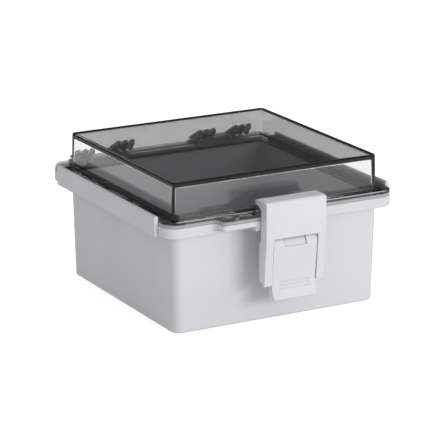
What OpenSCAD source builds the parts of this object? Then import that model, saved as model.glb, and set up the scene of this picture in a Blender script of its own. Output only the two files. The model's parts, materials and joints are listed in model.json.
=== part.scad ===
// Hinged polycarbonate enclosure: a square base with a gasketed rim, a clear raised cover
// on two pinned rear hinges, side rails, and an over-centre draw latch at the front.
// X runs along the front, -Y is the latch side, +Y the hinge side, and Z is up.
// The origin is the centre of the base's underside.

/* [Base] */
// Width of the base just under its rim
base_w = 204; // [160:1:300]
// Depth of the base just under its rim
base_d = 204; // [160:1:300]
// Height of the base up to the parting line
base_h = 97.2; // [80:0.1:140]
// How far each side of the base leans in towards its foot
base_draft = 1.8; // [0.5:0.1:3]
// Thickness of the base's walls
base_wall = 3.5; // [2.5:0.1:4.5]
// Thickness of the base's floor
floor_t = 3.5; // [2.5:0.1:5]
// Radius of the base's upright corners
base_corner_r = 8; // [5:0.5:12]
// Radius of the base's bottom edge
foot_r = 1.5; // [0.5:0.1:3]

/* [Rim] */
// How far the rim stands out at the sides
rim_side = 11.1; // [10:0.1:14]
// How far the rim stands out at the front
rim_front = 10; // [9.5:0.1:14]
// How far the rim stands out at the rear, under the hinges
rim_rear = 17; // [14:0.1:20]
// Height of the base's rim
rim_h = 9.1; // [8:0.1:12]
// Plan radius of the rim's corners
rim_corner_r = 13; // [9:0.5:16]
// Width of the gasket's groove
groove_w = 5.6; // [4:0.1:6]
// Depth of the gasket's groove
groove_depth = 4.4; // [3:0.1:5]
// Width of the land between the wall's outer face and the groove
groove_inset = 1.2; // [0.5:0.1:1.5]

/* [Cover] */
// Height of the cover above the parting line
cover_h = 36.2; // [25:0.1:60]
// How much narrower than the base the raised box is at its top
cover_less_w = 3; // [2:0.5:12]
// How much less deep than the base the raised box is at its top
cover_less_d = 4; // [2:0.5:12]
// How far each side of the raised box leans out towards its foot
cover_draft = 1; // [0.3:0.1:2]
// Thickness of the cover's walls
cover_wall = 4; // [3:0.1:4.4]
// Thickness of the cover's top
cover_top_t = 4.4; // [3:0.1:5]
// Radius of the cover's top edges
cover_edge_r = 1.5; // [1:0.1:3]
// Radius of the raised box's upright corners at its top
cover_top_r = 4; // [3.8:0.1:6]
// Radius of the raised box's upright corners at its foot
cover_corner_r = 5; // [4:0.5:8]
// Thickness of the cover's flange
flange_t = 5.5; // [4.5:0.1:7]
// Radius of the flange's upper edge
flange_edge_r = 1; // [0.5:0.1:1.5]
// How far the step at the wall's foot stands out
step_out = 1.3; // [0.8:0.1:2]
// Height of the step at the wall's foot
step_h = 1.4; // [0.8:0.1:3]
// Gap between the base's rim and the closed cover
parting_gap = 0.3; // [0.2:0.05:0.5]
// Thickness of the tongue that presses on the gasket
tongue_t = 2.6; // [2:0.1:3]
// How far the tongue reaches down
tongue_h = 1.5; // [1:0.1:2]
// Radius of the locating pegs at the rim's corners
peg_r = 1.8; // [1.2:0.1:2.2]
// Height of the locating pegs
peg_h = 2; // [1:0.1:2.5]

/* [Hinges] */
// Distance of each hinge's middle from the rim's side
hinge_in = 51.3; // [35:0.1:56]
// Distance of each group of knuckles from its hinge's middle
group_x = 19.1; // [17:0.1:22]
// Pitch of the cover's knuckles in a group
knuckle_pitch = 7.1; // [6.5:0.1:8]
// Thickness of one cover knuckle
knuckle_t = 3.2; // [2.5:0.1:3.6]
// Number of cover knuckles in a group
knuckle_count = 3; // [2:1:4]
// Outer radius of the knuckles
knuckle_r = 5.2; // [4.5:0.1:5.6]
// Radius of the hinge pins
hinge_pin_r = 2.5; // [1.5:0.1:3]
// Distance of the hinge axis behind the rim
hinge_back = 6; // [5.8:0.1:8]
// Height of the hinge axis above the parting line
hinge_rise = 1.8; // [0:0.1:3]
// Height of the leaning fins above the cover's flange
fin_h = 12; // [8:0.1:20]
// Radius of a fin's tip
fin_tip_r = 2.4; // [1.5:0.1:3]
// Gap between a fin's tip and the raised box
fin_gap = 1.2; // [0.6:0.1:2]
// Sideways gap between neighbouring knuckles
knuckle_gap = 0.35; // [0.3:0.05:0.6]
// How far a hinge pin stands out past its last knuckle
hinge_pin_out = 0.8; // [0.3:0.1:2]

/* [Side rails] */
// Distance of each rail's ends from the base's front and rear
rail_end = 7; // [5:1:40]
// Thickness of each side rail
rail_t = 3.8; // [3:0.1:5]
// Height of each side rail
rail_h = 17.9; // [14:0.1:22]
// Gap between the rail and the rim
rail_gap = 0.1; // [0.05:0.05:0.3]
// Number of pegs that fix each rail
rail_pegs = 4; // [2:1:6]
// Radius of those pegs
rail_peg_r = 1.4; // [1:0.1:1.6]
// Length of those pegs
rail_peg_len = 5; // [3:0.1:6]
// Distance of the outermost pegs from the rail's ends
rail_peg_end = 15; // [8:1:30]

/* [Seal ear and keeper] */
// How far the ear stands out in front of the rim
ear_out = 11.5; // [10.5:0.1:13]
// Distance of the ear's outer side from the centre line
ear_x = 65.7; // [60:0.1:70]
// Radius of the ear's plan curves
ear_r = 3.7; // [2:0.1:5]
// Height of the base's half of the ear
ear_h = 4.6; // [3:0.1:6]
// Distance of the seal hole from the centre line
seal_x = 50; // [45:0.1:55]
// How far the seal hole lies in front of the rim
seal_out = 4.9; // [4:0.1:6]
// Radius of the seal hole
seal_r = 3.3; // [2.5:0.1:4]
// Half width of the keeper block
keeper_x = 34; // [32:0.1:38]
// How far the keeper's front lies behind the ear's front
keeper_set = 1.1; // [0.5:0.1:2]
// Depth of the keeper's top land
keeper_land = 7; // [5:0.1:8]
// Height of the keeper's front edge above the parting line
keeper_h = 12.7; // [11:0.1:16]
// Slope of the keeper's land, which the hook's nose holds on to
keeper_slope = 0.1; // [0.05:0.01:0.11]

/* [Latch] */
// Overall width of the latch
latch_w = 59; // [54:0.5:64]
// Distance of the latch's face in front of the rim's front
latch_out = 20.5; // [20:0.1:24]
// Height of the latch below the parting line
latch_drop = 57.7; // [50:0.1:60]
// Depth of the bend in the hook's face below the parting line
bend_drop = 16.7; // [14:0.1:20]
// How far the hook's face leans in below the bend
latch_lean = 3.5; // [2:0.1:5]
// Thickness of the hook's walls
hook_wall = 3; // [2.2:0.1:3.4]
// Radius of the hook's top front edge
hook_top_r = 3.5; // [2:0.1:4]
// Thickness of the nose over the keeper's front edge
nose_t = 4.1; // [3:0.1:5]
// How far the nose reaches past the keeper
nose_past = 2; // [0.4:0.1:3]
// Gap between the nose and the keeper
nose_gap = 0.3; // [0.3:0.05:0.5]
// Width of the window that the lever sits in
window_w = 43.9; // [40:0.1:46]
// Gap on each side between the lever and the window
lever_gap = 0.6; // [0.4:0.1:1]
// How far the lever's face lies behind the hook's face
lever_set = 0.9; // [0.5:0.1:1.5]
// Radius of the lever's round top
barrel_r = 6.4; // [5.8:0.1:7]
// Depth of the lever's pivot below the parting line
pivot_drop = 22.7; // [21:0.1:25]
// Thickness of the lever's skin
lever_skin = 2.2; // [1.6:0.1:2.6]
// Thickness of the lever's side flanges
lever_flange_t = 2.5; // [2:0.1:3]
// Depth of the lever behind its face
lever_depth = 7; // [6:0.1:9]
// Depth of the lever's lower edge below the parting line
lever_foot_drop = 70.2; // [66:0.1:76]
// Depth of the lever's waist, where it starts to flare, below the parting line
flare_drop = 54.2; // [52:0.1:57]
// How far the waist lies behind the lever's face
waist_set = 3.2; // [2:0.1:4]
// Radius of the lever's flare
flare_r = 24; // [18:1:40]
// Radius of the lever's pin
lever_pin_r = 2; // [1.5:0.1:2.2]
// Depth of the pin between lever and hook below the parting line
hook_pin_drop = 50.7; // [47:0.1:52]
// Radius of the pin between lever and hook
hook_pin_r = 1.5; // [1:0.1:1.6]
// Width of the base's latch lug
lug_w = 20.5; // [16:0.1:24]
// Radius of the lug's barrel
lug_r = 5.8; // [3.4:0.1:5.9]
// Number of ribs that carry the lug
lug_ribs = 3; // [2:1:4]
// Thickness of those ribs
lug_rib_t = 3; // [2:0.1:4]
// Number of grip grooves in the lever
grip_count = 3; // [2:1:4]
// Pitch of the grip grooves
grip_pitch = 3; // [2.4:0.1:3.4]
// Radius of a grip groove
grip_r = 0.6; // [0.4:0.1:0.9]

/* [Inside] */
// Distance of the bosses for a mounting panel from the base's sides
boss_in = 22; // [18:0.5:40]
// Radius of those bosses
boss_r = 5; // [4.5:0.1:7]
// Height of those bosses above the floor
boss_h = 9; // [8:0.5:20]
// Outer radius of the threaded inserts
insert_r = 2.8; // [2.4:0.1:3.2]
// Length of the threaded inserts
insert_len = 7; // [5:0.5:8]
// Radius of the inserts' bore
insert_bore_r = 1.65; // [1.2:0.05:2]
// Distance of the wall fixing holes from the base's left and right sides
fixing_in_x = 17; // [14:0.5:30]
// Distance of the wall fixing holes from the base's front and rear
fixing_in_y = 47; // [36:0.5:60]
// Radius of the wall fixing holes
fixing_r = 2.6; // [2:0.1:3.2]
// Radius of the collars round the wall fixing holes
collar_r = 5.5; // [5:0.1:7]
// Height of those collars above the floor
collar_h = 3; // [1:0.5:6]

/* [Fits] */
// Radial clearance of a pin in the holes that turn on it
running_fit = 0.06; // [0.02:0.01:0.1]
// Radial clearance of a pin or insert in the hole that holds it
held_fit = 0.02; // [0.01:0.01:0.05]
// Clearance of the gasket in its groove
seal_fit = 0.1; // [0.05:0.05:0.2]
// Gap between the gasket and the cover's tongue
tongue_gap = 0.3; // [0.3:0.05:0.5]
// How far the cover's flange is set back from the rim's sides
flange_set = 0.2; // [0.1:0.05:0.5]

/* [Hidden] */
$fn = 48;
// Arc steps of the rounded shells, which are hulls
shell_fn = 32;
// Thickness of the slices that a shell is stretched between
slice = 0.05;
// Overlap that lets a cut run past a face, or a joined shape start inside its neighbour
cut = 1;

PALE = [0.86, 0.865, 0.88];
SMOKE = [0.35, 0.36, 0.38, 0.5];
STEEL = [0.72, 0.73, 0.75];
BRASS = [0.78, 0.62, 0.3];
SEAL = [0.12, 0.12, 0.13];

// Plan of the rim: half width, front and rear edges
rim_x = base_w / 2 + rim_side;
rim_y0 = -(base_d / 2 + rim_front);
rim_y1 = base_d / 2 + rim_rear;
rim_z0 = base_h - rim_h;

// Levels of the cover and its raised box
cover_w = base_w - cover_less_w;
cover_d = base_d - cover_less_d;
flange_x = rim_x - flange_set;
cover_z = base_h + parting_gap;
flange_z = cover_z + flange_t;
top_z = cover_z + cover_h;
cover_foot_w = cover_w + 2 * cover_draft;
cover_foot_d = cover_d + 2 * cover_draft;
cover_inner_r = 1;

// Spacings of the bosses and of the wall fixing holes
panel_pitch_x = base_w - 2 * boss_in;
panel_pitch_y = base_d - 2 * boss_in;
fixing_pitch_x = base_w - 2 * fixing_in_x;
fixing_pitch_y = base_d - 2 * fixing_in_y;

// Middle of the gasket's groove, outside the wall's outer face
groove_mid = groove_inset + groove_w / 2;
gasket_h = groove_depth - tongue_h;

// Right-hand locating pegs, front and rear, and the room round them in the cover
peg_front = [6.1, 5.7];
peg_rear = [4.6, 8.5];
peg_xy = [[rim_x - peg_front[0], rim_y0 + peg_front[1]], [rim_x - peg_rear[0], rim_y1 - peg_rear[1]]];
peg_room = 0.5;
peg_depth = peg_h + 0.3;

// Hinge axis and the leaning fins
axis_y = rim_y1 + hinge_back;
axis_z = base_h + hinge_rise;
eye = [axis_y, axis_z];
tip = [cover_foot_d / 2 + step_out + fin_gap + fin_tip_r, flange_z + fin_h - fin_tip_r];
fin_root_back = 5;
fin_root = [tip[0] + fin_root_back, flange_z - cut / 2];
hinge_x = rim_x - hinge_in;
station_half = group_x + (knuckle_count - 1) / 2 * knuckle_pitch + knuckle_t / 2 + hinge_pin_out;
block_half = group_x - (knuckle_count - 1) / 2 * knuckle_pitch - knuckle_t / 2 - knuckle_gap;
base_knuckle_t = knuckle_pitch - knuckle_t - 2 * knuckle_gap;

// Side rails
rail_x = rim_x + rail_gap;
rail_len = base_d - 2 * rail_end;
rail_peg_pitch = (rail_len - 2 * rail_peg_end) / (rail_pegs - 1);
peg_hole_room = 0.3;
rail_peg_z = (rim_z0 + base_h - groove_depth) / 2;

// Ear and keeper
ear_y = rim_y0 - ear_out;
seal_y = rim_y0 - seal_out;
keeper_y0 = ear_y + keeper_set;
keeper_y1 = keeper_y0 + keeper_land;
keeper_z = base_h + keeper_h;
// Drop of the ramp under the hook's cheeks at the keeper's front, middle and rear
ramp = [4.3, 2.1, 0.8];
ramp_mid = 4.4;
land_inset = 0.6;

// Latch planes and pivots
latch_foot_z = base_h - latch_drop;
latch_bend_z = base_h - bend_drop;
lever_pivot_z = base_h - pivot_drop;
lever_foot_z = base_h - lever_foot_drop;
flare_z = base_h - flare_drop;
hook_pivot_z = base_h - hook_pin_drop;
face_y = rim_y0 - latch_out;
face_foot_y = face_y + latch_lean;
nose_z = keeper_z + nose_gap;
nose_top = nose_z + nose_t;
nose_y = keeper_y1 + nose_past;
nose_tip_r = 1.5;
nose_drop = 1.8;
// Room of the hook's cheeks over the keeper's ramps, ahead of its front and behind its rear
cheek_room = 0.7;
cheek_ahead = 0.6;
cheek_rear = [0.4, 0.5];
// The cheeks reach further in below the rim, from these heights above the lever's pivot
cheek_in = 2.1;
cheek_step = [3.5, 1.5];
hook_pin_boss = 2.2;
hook_pin_end = 1.4;
// Cheek ends in a round cut at its foot
cheek_cut_r = 11;
cheek_cut = [6.5, -9.3];
cheek_foot = 4.5;
// Where the lug's ribs leave its barrel and meet the base
neck_angle = 20;
lug_reach = 14;
rib_top = 2;
rib_out = 4;
lever_face_y = face_y + lever_set;
lever_pivot = [lever_face_y + barrel_r, lever_pivot_z];
hook_pin_set = 0.5;
hook_pivot = [lever_pivot[0] + hook_pin_set, hook_pivot_z];
lever_half = window_w / 2 - lever_gap;
lug_gap = 0.5;
// Room round the lug's barrel in the lever's notch, and the notch's depth below the pivot
lug_room = 0.3;
notch_drop = 1.2;
// Rear of the lever's flanges: steps in at the foot and at the barrel, and up from the waist
flange_step = [3, 2, 6];
grip_in = 6.3;
grip_up = 0.3;
// How far the window reaches above the bend, and the pins stay inside their holes' ends
window_up = 1.1;
lever_pin_in = 0.3;
hook_pin_in = 0.1;
cheek_x = latch_w / 2 - hook_wall;
flare = [lever_face_y + waist_set, flare_z];
lean = flare - [lever_face_y, lever_pivot_z];
lean_n = [lean[1], -lean[0]] / norm(lean);
flare_mid = flare + flare_r * lean_n;

// Unit normal of the line that touches circles (p, a) and (q, b) on one side of p to q
function touch(p, a, q, b, side) =
    let (d = q - p, u = d / norm(d), c = (a - b) / norm(d), s = side * sqrt(1 - c * c))
    [u[0] * c - u[1] * s, u[1] * c + u[0] * s];

// Point on circle (p, a) in direction n
function at(p, a, n) = p + a * n;

// Height of the nose's underside at a given y
function under_nose(y) = nose_z - keeper_slope * (y - keeper_y0);

// Rounded rectangle with its own front and rear edges
module plan(half_x, y0, y1, r) {
    union() {
        translate([-half_x, y0 + r]) square([2 * half_x, y1 - y0 - 2 * r]);
        translate([-half_x + r, y0]) square([2 * half_x - 2 * r, y1 - y0]);
        for (x = [-1, 1], y = [y0 + r, y1 - r]) translate([x * (half_x - r), y]) circle(r);
    }
}

// One thin slice of a rounded shell, at height z
module shell_slice(half_x, y0, y1, r, z) {
    translate([0, 0, z]) linear_extrude(slice) plan(half_x, y0, y1, r, $fn = shell_fn);
}

// Plan of a band of width w whose middle runs off outside a box of w_x by w_y
module band(w_x, w_y, off, w, r) {
    difference() {
        plan(w_x / 2 + off + w / 2, -w_y / 2 - off - w / 2, w_y / 2 + off + w / 2, r + off + w / 2);
        plan(w_x / 2 + off - w / 2, -w_y / 2 - off + w / 2, w_y / 2 + off - w / 2, r + off - w / 2);
    }
}

// Profile in (y, z), drawn out along X from x0 to x1
module along_x(x0, x1) {
    translate([x0, 0, 0]) rotate([90, 0, 90]) linear_extrude(x1 - x0) children();
}

// Round bar along X through a point (y, z)
module bar_x(x0, x1, p, r) {
    translate([x0, p[0], p[1]]) rotate([0, 90, 0]) cylinder(h = x1 - x0, r = r);
}

module corners(w_x, w_y) {
    for (x = [-1, 1], y = [-1, 1]) translate([x * w_x / 2, y * w_y / 2, 0]) children();
}

// Plan of the ear that carries the seal hole, with its S-shaped shoulder
module ear_plan(front_y) {
    difference() {
        union() {
            translate([-ear_x + ear_r, front_y])
                square([ear_x - ear_r - keeper_x + cut, rim_y0 + 2 * cut - front_y]);
            translate([-ear_x, front_y + ear_r]) square([ear_r + cut, rim_y0 + 2 * cut - front_y - ear_r]);
            translate([-ear_x + ear_r, front_y + ear_r]) circle(ear_r);
            translate([-ear_x - ear_r, rim_y0 - ear_r]) square([ear_r + cut, ear_r + cut]);
        }
        translate([-ear_x - ear_r, rim_y0 - ear_r]) circle(ear_r);
        translate([-seal_x, seal_y]) circle(seal_r);
    }
}

// Plan of the bulge behind the latch
module keeper_plan() {
    translate([-keeper_x, keeper_y0]) square([2 * keeper_x, rim_y0 + 2 * cut - keeper_y0]);
}

// ---------------------------------------------------------------- base

module base_tub() {
    difference() {
        union() {
            hull() {
                shell_slice(base_w / 2 - base_draft - foot_r, -base_d / 2 + base_draft + foot_r,
                            base_d / 2 - base_draft - foot_r, base_corner_r - foot_r, 0);
                shell_slice(base_w / 2 - base_draft, -base_d / 2 + base_draft,
                            base_d / 2 - base_draft, base_corner_r, foot_r);
                shell_slice(base_w / 2, -base_d / 2, base_d / 2, base_corner_r, base_h - rim_h / 2);
            }
            translate([0, 0, rim_z0]) linear_extrude(rim_h) plan(rim_x, rim_y0, rim_y1, rim_corner_r);
        }
        hull() {
            shell_slice(base_w / 2 - base_draft - base_wall, -base_d / 2 + base_draft + base_wall,
                        base_d / 2 - base_draft - base_wall, base_corner_r - base_wall, floor_t);
            shell_slice(base_w / 2 - base_wall, -base_d / 2 + base_wall, base_d / 2 - base_wall,
                        base_corner_r - base_wall, base_h + cut);
        }
    }
}

// Rounded knuckle of the base, tied back to the rim
module base_knuckle(x0, x1) {
    n0 = touch([rim_y1 - cut, rim_z0 + cut], 0, eye, knuckle_r, -1);
    along_x(x0, x1) difference() {
        union() {
            translate(eye) circle(knuckle_r);
            polygon([[rim_y1 - cut, base_h], [rim_y1 - cut, rim_z0 + cut], at(eye, knuckle_r, n0), eye,
                     [axis_y - sqrt(knuckle_r * knuckle_r - hinge_rise * hinge_rise), base_h]]);
        }
        translate(eye) circle(hinge_pin_r + held_fit);
    }
}

module base_hinge(side) {
    c = side * hinge_x;
    base_knuckle(c - block_half, c + block_half);
    for (g = [-1, 1], i = [1:1:knuckle_count - 1]) {
        x = c + g * group_x + (i - knuckle_count / 2) * knuckle_pitch;
        base_knuckle(x - base_knuckle_t / 2, x + base_knuckle_t / 2);
    }
}

// Ribs and barrel that carry the lever's pin
module latch_lug() {
    neck = at(lever_pivot, lug_r, [sin(neck_angle), cos(neck_angle)]);
    low = [-base_d / 2 + cut, lever_pivot_z - lug_reach];
    low_n = touch(lever_pivot, lug_r, low, 0, -1);
    rib_pitch = (lug_w - lug_rib_t) / (lug_ribs - 1);
    difference() {
        union() {
            bar_x(-lug_w / 2, lug_w / 2, lever_pivot, lug_r);
            for (i = [0:lug_ribs - 1]) {
                x = -lug_w / 2 + i * rib_pitch;
                along_x(x, x + lug_rib_t)
                    polygon([at(lever_pivot, lug_r, low_n), lever_pivot, neck,
                             [keeper_y0 + rib_out, rim_z0 + rib_top], [low[0], rim_z0 + rib_top], low]);
            }
        }
        bar_x(-lug_w, lug_w, lever_pivot, lever_pin_r + held_fit);
    }
}

module base_shell() {
    color(PALE) difference() {
        union() {
            base_tub();
            translate([0, 0, base_h - ear_h]) linear_extrude(ear_h) ear_plan(ear_y);
            translate([0, 0, rim_z0]) linear_extrude(rim_h) keeper_plan();
            base_hinge(-1);
            base_hinge(1);
            latch_lug();
            corners(panel_pitch_x, panel_pitch_y) {
                translate([0, 0, floor_t - cut]) cylinder(h = boss_h + cut, r = boss_r);
            }
            corners(fixing_pitch_x, fixing_pitch_y) {
                translate([0, 0, floor_t - cut]) cylinder(h = collar_h + cut, r = collar_r);
            }
            peg_places() translate([0, 0, base_h - cut]) cylinder(h = peg_h + cut, r = peg_r);
        }
        translate([0, 0, base_h - groove_depth]) linear_extrude(groove_depth + cut)
            band(base_w, base_d, groove_mid, groove_w, base_corner_r);
        corners(panel_pitch_x, panel_pitch_y) {
            translate([0, 0, floor_t + boss_h - insert_len])
                cylinder(h = insert_len + cut, r = insert_r + held_fit);
        }
        corners(fixing_pitch_x, fixing_pitch_y) {
            translate([0, 0, -cut]) cylinder(h = floor_t + collar_h + 2 * cut, r = fixing_r);
        }
        rail_peg_places()
            rotate([0, 90, 0]) cylinder(h = rail_peg_len + peg_hole_room, r = rail_peg_r + held_fit);
    }
}

// Locating pegs stand in the rim's four corners, outside the groove
module peg_places() {
    for (x = [-1, 1], p = peg_xy) translate([x * p[0], p[1], 0]) children();
}

// Pegs point inwards from each side of the rim
module rail_peg_places() {
    for (s = [0, 180], i = [0:rail_pegs - 1]) rotate(s)
        translate([-rim_x, (i - (rail_pegs - 1) / 2) * rail_peg_pitch, rail_peg_z]) children();
}

module gasket() {
    color(SEAL) translate([0, 0, base_h - groove_depth + seal_fit])
        linear_extrude(gasket_h - seal_fit - tongue_gap)
            band(base_w, base_d, groove_mid, groove_w - 2 * seal_fit, base_corner_r);
}

module panel_insert(x, y) {
    color(BRASS) translate([x * panel_pitch_x / 2, y * panel_pitch_y / 2, floor_t + boss_h - insert_len])
        difference() {
            cylinder(h = insert_len, r = insert_r);
            translate([0, 0, -cut]) cylinder(h = insert_len + 2 * cut, r = insert_bore_r);
        }
}

module side_rail(side) {
    color(PALE) rotate(side > 0 ? 180 : 0) {
        translate([-rail_x - rail_t, rail_len / 2, rim_z0]) rotate([90, 0, 0])
            linear_extrude(rail_len) union() {
                square([rail_t, rail_h - rail_t / 2]);
                translate([rail_t / 2, rail_h - rail_t / 2]) circle(rail_t / 2);
            }
        for (i = [0:rail_pegs - 1])
            translate([-rail_x - cut, (i - (rail_pegs - 1) / 2) * rail_peg_pitch, rail_peg_z])
                rotate([0, 90, 0]) cylinder(h = rail_peg_len + rail_gap + cut, r = rail_peg_r);
    }
}

// ---------------------------------------------------------------- cover

// Drafted box with rounded upright corners and a rounded top edge
module raised_box(w, d, z0, z1, r_foot, r_top, r_edge, draft) {
    hull() {
        shell_slice(w / 2 + draft, -d / 2 - draft, d / 2 + draft, r_foot, z0);
        for (a = [0:15:90]) {
            m = r_edge * (1 - cos(a));
            shell_slice(w / 2 - m, -d / 2 + m, d / 2 - m, r_top - m, z1 - slice - r_edge * (1 - sin(a)));
        }
    }
}

module cover_flange() {
    e = flange_edge_r;
    hull() {
        m = 0.3 * e;
        shell_slice(flange_x, rim_y0, rim_y1, rim_corner_r, cover_z);
        shell_slice(flange_x, rim_y0, rim_y1, rim_corner_r, flange_z - e);
        shell_slice(flange_x - m, rim_y0 + m, rim_y1 - m, rim_corner_r, flange_z - m);
        shell_slice(flange_x - e, rim_y0 + e, rim_y1 - e, rim_corner_r, flange_z - slice);
    }
}

// One leaning fin with its eye round the hinge pin
module cover_knuckle(x) {
    back = touch(tip, fin_tip_r, eye, knuckle_r, 1);
    front = touch(fin_root, 0, tip, fin_tip_r, 1);
    along_x(x - knuckle_t / 2, x + knuckle_t / 2) union() {
        translate(eye) circle(knuckle_r);
        translate(tip) circle(fin_tip_r);
        polygon([at(tip, fin_tip_r, back), at(eye, knuckle_r, back), eye, [rim_y1 - cut, cover_z],
                 [fin_root[0], cover_z + cut], fin_root, at(tip, fin_tip_r, front), tip]);
    }
}

// Keeper block: a sloped land in the middle for the hook's nose, ramps under its cheeks
module keeper() {
    x_land = cheek_x - land_inset;
    along_x(-keeper_x, keeper_x)
        polygon([[keeper_y0, cover_z], [keeper_y0, keeper_z - ramp[0]],
                 [keeper_y0 + ramp_mid, keeper_z - ramp[1]], [keeper_y1, keeper_z - ramp[2]],
                 [keeper_y1, cover_z]]);
    along_x(-x_land, x_land)
        polygon([[keeper_y0, cover_z], [keeper_y0, keeper_z],
                 [keeper_y1, keeper_z - keeper_slope * keeper_land], [keeper_y1, cover_z]]);
}

module cover_shell() {
    color(SMOKE) difference() {
        union() {
            cover_flange();
            raised_box(cover_w, cover_d, cover_z, top_z, cover_corner_r, cover_top_r, cover_edge_r,
                       cover_draft);
            translate([0, 0, cover_z + cut]) linear_extrude(flange_t - cut + step_h)
                plan(cover_foot_w / 2 + step_out, -cover_foot_d / 2 - step_out, cover_foot_d / 2 + step_out,
                     cover_corner_r + step_out);
            translate([0, 0, cover_z]) linear_extrude(flange_t) ear_plan(ear_y);
            translate([0, 0, cover_z]) linear_extrude(flange_t) keeper_plan();
            translate([0, 0, cover_z - tongue_h]) linear_extrude(tongue_h + cut)
                band(base_w, base_d, groove_mid, tongue_t, base_corner_r);
            keeper();
            for (s = [-1, 1], g = [-1, 1], i = [0:knuckle_count - 1])
                cover_knuckle(s * hinge_x + g * group_x + (i - (knuckle_count - 1) / 2) * knuckle_pitch);
        }
        raised_box(cover_w - 2 * cover_wall, cover_d - 2 * cover_wall, cover_z - cut, top_z - cover_top_t,
                   max(cover_corner_r - cover_wall, cover_inner_r),
                   max(cover_top_r - cover_wall, cover_inner_r), cover_inner_r, cover_draft);
        for (s = [-1, 1])
            bar_x(s * hinge_x - station_half - cut, s * hinge_x + station_half + cut, eye,
                  hinge_pin_r + running_fit);
        peg_places() translate([0, 0, cover_z - cut]) cylinder(h = peg_depth + cut, r = peg_r + peg_room);
    }
}

module hinge_pin(side) {
    color(STEEL) bar_x(side * hinge_x - station_half, side * hinge_x + station_half, eye, hinge_pin_r);
}

// ---------------------------------------------------------------- latch

// Solid outline of the lever from the side, without its hollow
module lever_outline(skin) {
    front = lever_face_y + skin;
    difference() {
        polygon([[front, lever_pivot_z], flare + [skin, 0], flare_mid + [flare_r + skin, 0],
                 flare_mid, [flare_mid[0], lever_foot_z],
                 [flare[0] + lever_depth - flange_step[0], lever_foot_z],
                 [flare[0] + lever_depth, flare_z - flange_step[2]],
                 [lever_pivot[0] + barrel_r - flange_step[1], lever_pivot_z]]);
        translate(flare_mid) circle(flare_r + skin, $fn = 96);
    }
}

module latch_lever() {
    notch_half = lug_w / 2 + lug_gap;
    color(PALE) difference() {
        union() {
            difference() {
                along_x(-lever_half, lever_half) lever_outline(0);
                along_x(-lever_half + lever_flange_t, lever_half - lever_flange_t) lever_outline(lever_skin);
            }
            bar_x(-lever_half, lever_half, lever_pivot, barrel_r);
        }
        // the base's lug sits in the notch, and its barrel turns against the inside of the skin
        bar_x(-notch_half, notch_half, lever_pivot, lug_r + lug_room);
        translate([-notch_half, lever_pivot[0] - barrel_r - cut, lever_pivot_z - notch_drop])
            cube([2 * notch_half, 2 * barrel_r + 2 * cut, 2 * barrel_r]);
        translate([-notch_half, lever_pivot[0], lever_pivot_z - barrel_r - cut])
            cube([2 * notch_half, 2 * barrel_r, 2 * barrel_r]);
        bar_x(-lever_half - cut, lever_half + cut, lever_pivot, lever_pin_r + running_fit);
        bar_x(-lever_half - cut, lever_half + cut, hook_pivot, hook_pin_r + running_fit);
        for (i = [0:grip_count - 1]) {
            dz = (grip_up - i) * grip_pitch;
            groove = [flare_mid[0] + sqrt(flare_r * flare_r - dz * dz), flare_mid[1] + dz];
            bar_x(-lever_half + grip_in, lever_half - grip_in, groove, grip_r);
        }
    }
}

module lever_pin() {
    half = lever_half - lever_pin_in;
    color(STEEL) bar_x(-half, half, lever_pivot, lever_pin_r);
}

// Side outline of the hook: face, bend, rounded top and nose
module hook_outline() {
    r = hook_top_r;
    n = nose_tip_r;
    union() {
        polygon([[face_foot_y, latch_foot_z], [face_y, latch_bend_z], [face_y, nose_top - r],
                 [face_y + r, nose_top], [nose_y - n, nose_top - nose_drop + n],
                 [nose_y, nose_top - nose_drop], [nose_y, under_nose(nose_y)],
                 [face_y + hook_wall, under_nose(face_y + hook_wall)],
                 [face_y + hook_wall, latch_bend_z], [face_foot_y + hook_wall, latch_foot_z]]);
        translate([face_y + r, nose_top - r]) circle(r);
        translate([nose_y - n, nose_top - nose_drop]) circle(n);
    }
}

// Side wall of the hook, from the nose down to the foot
module hook_cheek(x0, x1) {
    along_x(x0, x1) difference() {
        polygon([[face_foot_y, latch_foot_z], [face_y, latch_bend_z], [face_y, nose_top - hook_top_r],
                 [face_y + hook_top_r, nose_top - cut], [nose_y - cut, nose_top - nose_drop],
                 [nose_y, keeper_z + cheek_rear[1]], [keeper_y1 + cheek_rear[0], keeper_z + cheek_rear[1]],
                 [keeper_y0 + ramp_mid, keeper_z - ramp[1] + cheek_room],
                 [keeper_y0 - cheek_ahead, keeper_z - ramp[0] + cheek_room],
                 [keeper_y0 - cheek_ahead, lever_pivot_z + cheek_step[0]],
                 [keeper_y0 + cheek_in, lever_pivot_z + cheek_step[1]],
                 [keeper_y0 + cheek_in, latch_foot_z + cheek_foot]]);
        translate([face_foot_y, latch_foot_z] + cheek_cut) circle(cheek_cut_r);
    }
}

module latch_hook() {
    pin_hole_x = latch_w / 2 - hook_pin_end;
    color(PALE) difference() {
        union() {
            along_x(-latch_w / 2, latch_w / 2) hook_outline();
            hook_cheek(-latch_w / 2, -cheek_x);
            hook_cheek(cheek_x, latch_w / 2);
            bar_x(-cheek_x - cut, -window_w / 2, hook_pivot, hook_pin_r + hook_pin_boss);
            bar_x(window_w / 2, cheek_x + cut, hook_pivot, hook_pin_r + hook_pin_boss);
        }
        translate([-window_w / 2, face_y - cut, latch_foot_z - cut])
            cube([window_w, latch_lean + hook_wall + 4 * cut, latch_bend_z + window_up - latch_foot_z + cut]);
        bar_x(-pin_hole_x, pin_hole_x, hook_pivot, hook_pin_r + held_fit);
    }
}

module hook_pin() {
    half = latch_w / 2 - hook_pin_end - hook_pin_in;
    color(STEEL) bar_x(-half, half, hook_pivot, hook_pin_r);
}

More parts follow.
